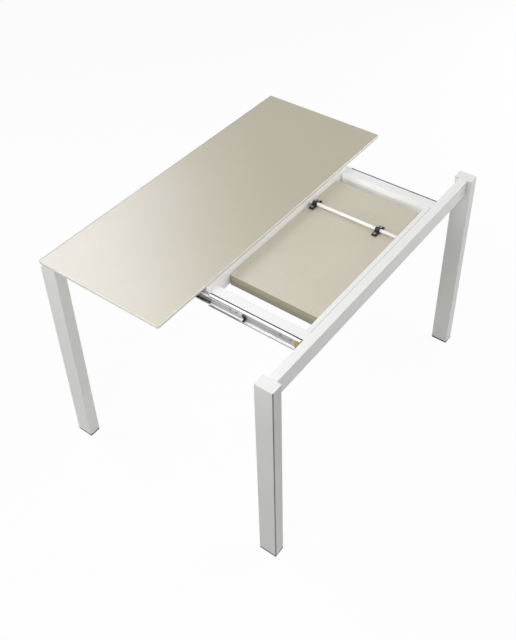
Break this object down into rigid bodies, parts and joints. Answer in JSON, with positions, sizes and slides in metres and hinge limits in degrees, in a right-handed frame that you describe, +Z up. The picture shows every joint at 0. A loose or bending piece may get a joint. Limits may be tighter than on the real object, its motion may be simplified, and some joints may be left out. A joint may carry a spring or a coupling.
{
  "type": "swivel extending table",
  "caption": "Extending kitchen table with a beige glass top, white steel frame on telescopic slides, and a folded leaf that swivels on a rod out of its well to lengthen the top.",
  "frame": {"origin": "on the floor under the middle of the table's bounding box, pulled out as in the picture", "axes": "+X along the pull, towards the legs that slide out; +Y along the table's long side, towards the end that the leaf swings to; +Z up"},
  "size_m": [0.812, 1.1, 0.744],
  "materials": {
    "beige_glass": "satin back-painted beige glass with a ground edge",
    "clear_pad": "cloudy soft pad",
    "white_powder_coat": "fine white powder coat",
    "dark_cap": "moulded dark plastic",
    "white_plug": "moulded white plastic",
    "zinc_steel": "zinc plated rolled steel",
    "ball_steel": "polished bearing balls",
    "screw_steel": "bright plated screws",
    "black_packing": "black packing strip",
    "black_plastic": "black moulded plastic",
    "yellow_buffer": "yellow soft plastic buffer",
    "beige_board": "beige lacquered board",
    "hinge_metal": "brass barrel hinges"
  },
  "bodies": {
    "fixed_frame": {"tabletop_glass": "beige_glass", "glass_pads": "clear_pad", "left_end_beam": "white_powder_coat", "left_front_leg": "white_powder_coat", "left_back_leg": "white_powder_coat", "left_front_leg_cap": "dark_cap", "left_back_leg_cap": "dark_cap", "front_fixed_rail": "white_powder_coat", "back_fixed_rail": "white_powder_coat", "front_slide_fixed_member": "zinc_steel", "back_slide_fixed_member": "zinc_steel", "fixed_member_screws": "screw_steel", "rail_plugs": "white_plug"},
    "extension_frame": {"right_end_beam": "white_powder_coat", "right_front_leg": "white_powder_coat", "right_back_leg": "white_powder_coat", "right_front_leg_cap": "dark_cap", "right_back_leg_cap": "dark_cap", "right_well_beam": "white_powder_coat", "inner_long_beam": "white_powder_coat", "front_side_beam": "white_powder_coat", "back_side_beam": "white_powder_coat", "pivot_rod": "white_powder_coat", "leaf_rest_brackets": "white_powder_coat", "bracket_screws": "screw_steel", "front_slide_packing": "black_packing", "back_slide_packing": "black_packing", "front_slide_moving_member": "zinc_steel", "back_slide_moving_member": "zinc_steel", "slide_screws": "screw_steel", "front_slide_bumper": "yellow_buffer", "back_slide_bumper": "yellow_buffer", "well_beam_bolts": "screw_steel", "inner_beam_plugs": "white_plug"},
    "leaf": {"leaf_upper_panel": "beige_board", "leaf_lower_panel": "beige_board", "leaf_hinge_barrels": "hinge_metal", "leaf_hinge_links": "hinge_metal", "left_rod_clip": "black_plastic", "right_rod_clip": "black_plastic", "clip_screws": "screw_steel"},
    "front_slide_carrier": {"front_slide_intermediate": "zinc_steel", "front_slide_stop": "black_plastic"},
    "front_outer_cage": {"front_outer_ball_cage": "zinc_steel", "front_outer_balls": "ball_steel"},
    "front_inner_cage": {"front_inner_ball_cage": "zinc_steel", "front_inner_balls": "ball_steel"},
    "back_slide_carrier": {"back_slide_intermediate": "zinc_steel", "back_slide_stop": "black_plastic"},
    "back_outer_cage": {"back_outer_ball_cage": "zinc_steel", "back_outer_balls": "ball_steel"},
    "back_inner_cage": {"back_inner_ball_cage": "zinc_steel", "back_inner_balls": "ball_steel"},
    "left_front_foot": {"left_front_glide": "dark_cap"},
    "left_back_foot": {"left_back_glide": "dark_cap"},
    "right_front_foot": {"right_front_glide": "dark_cap"},
    "right_back_foot": {"right_back_glide": "dark_cap"}
  },
  "joints": [
    {"name": "table_extension", "type": "slide", "parent": "fixed_frame", "child": "extension_frame", "axis": [1, 0, 0], "range_m": [-0.362, 0]},
    {"name": "leaf_swivel", "type": "hinge", "parent": "extension_frame", "child": "leaf", "pos_m": [0.1965, 0.147, 0.7175], "axis": [-1, 0, 0], "range_deg": [0, 180]},
    {"name": "front_slide_carrier_run", "type": "slide", "parent": "fixed_frame", "child": "front_slide_carrier", "axis": [1, 0, 0], "range_m": [-0.2, 0]},
    {"name": "front_outer_cage_run", "type": "slide", "parent": "fixed_frame", "child": "front_outer_cage", "axis": [1, 0, 0], "range_m": [-0.2815, 0]},
    {"name": "front_inner_cage_run", "type": "slide", "parent": "fixed_frame", "child": "front_inner_cage", "axis": [1, 0, 0], "range_m": [-0.1005, 0]},
    {"name": "back_slide_carrier_run", "type": "slide", "parent": "fixed_frame", "child": "back_slide_carrier", "axis": [1, 0, 0], "range_m": [-0.2, 0]},
    {"name": "back_outer_cage_run", "type": "slide", "parent": "fixed_frame", "child": "back_outer_cage", "axis": [1, 0, 0], "range_m": [-0.2815, 0]},
    {"name": "back_inner_cage_run", "type": "slide", "parent": "fixed_frame", "child": "back_inner_cage", "axis": [1, 0, 0], "range_m": [-0.1005, 0]},
    {"name": "left_front_foot_adjust", "type": "slide", "parent": "fixed_frame", "child": "left_front_foot", "axis": [0, 0, -1], "range_m": [0, 0.01]},
    {"name": "left_back_foot_adjust", "type": "slide", "parent": "fixed_frame", "child": "left_back_foot", "axis": [0, 0, -1], "range_m": [0, 0.01]},
    {"name": "right_front_foot_adjust", "type": "slide", "parent": "extension_frame", "child": "right_front_foot", "axis": [0, 0, -1], "range_m": [0, 0.01]},
    {"name": "right_back_foot_adjust", "type": "slide", "parent": "extension_frame", "child": "right_back_foot", "axis": [0, 0, -1], "range_m": [0, 0.01]}
  ],
  "couplings": [
    {"joint": "front_slide_carrier_run", "follows": "table_extension", "ratio": 0.54972},
    {"joint": "front_outer_cage_run", "follows": "table_extension", "ratio": 0.77486},
    {"joint": "front_inner_cage_run", "follows": "table_extension", "ratio": 0.27486},
    {"joint": "back_slide_carrier_run", "follows": "table_extension", "ratio": 0.54972},
    {"joint": "back_outer_cage_run", "follows": "table_extension", "ratio": 0.77486},
    {"joint": "back_inner_cage_run", "follows": "table_extension", "ratio": 0.27486}
  ]
}
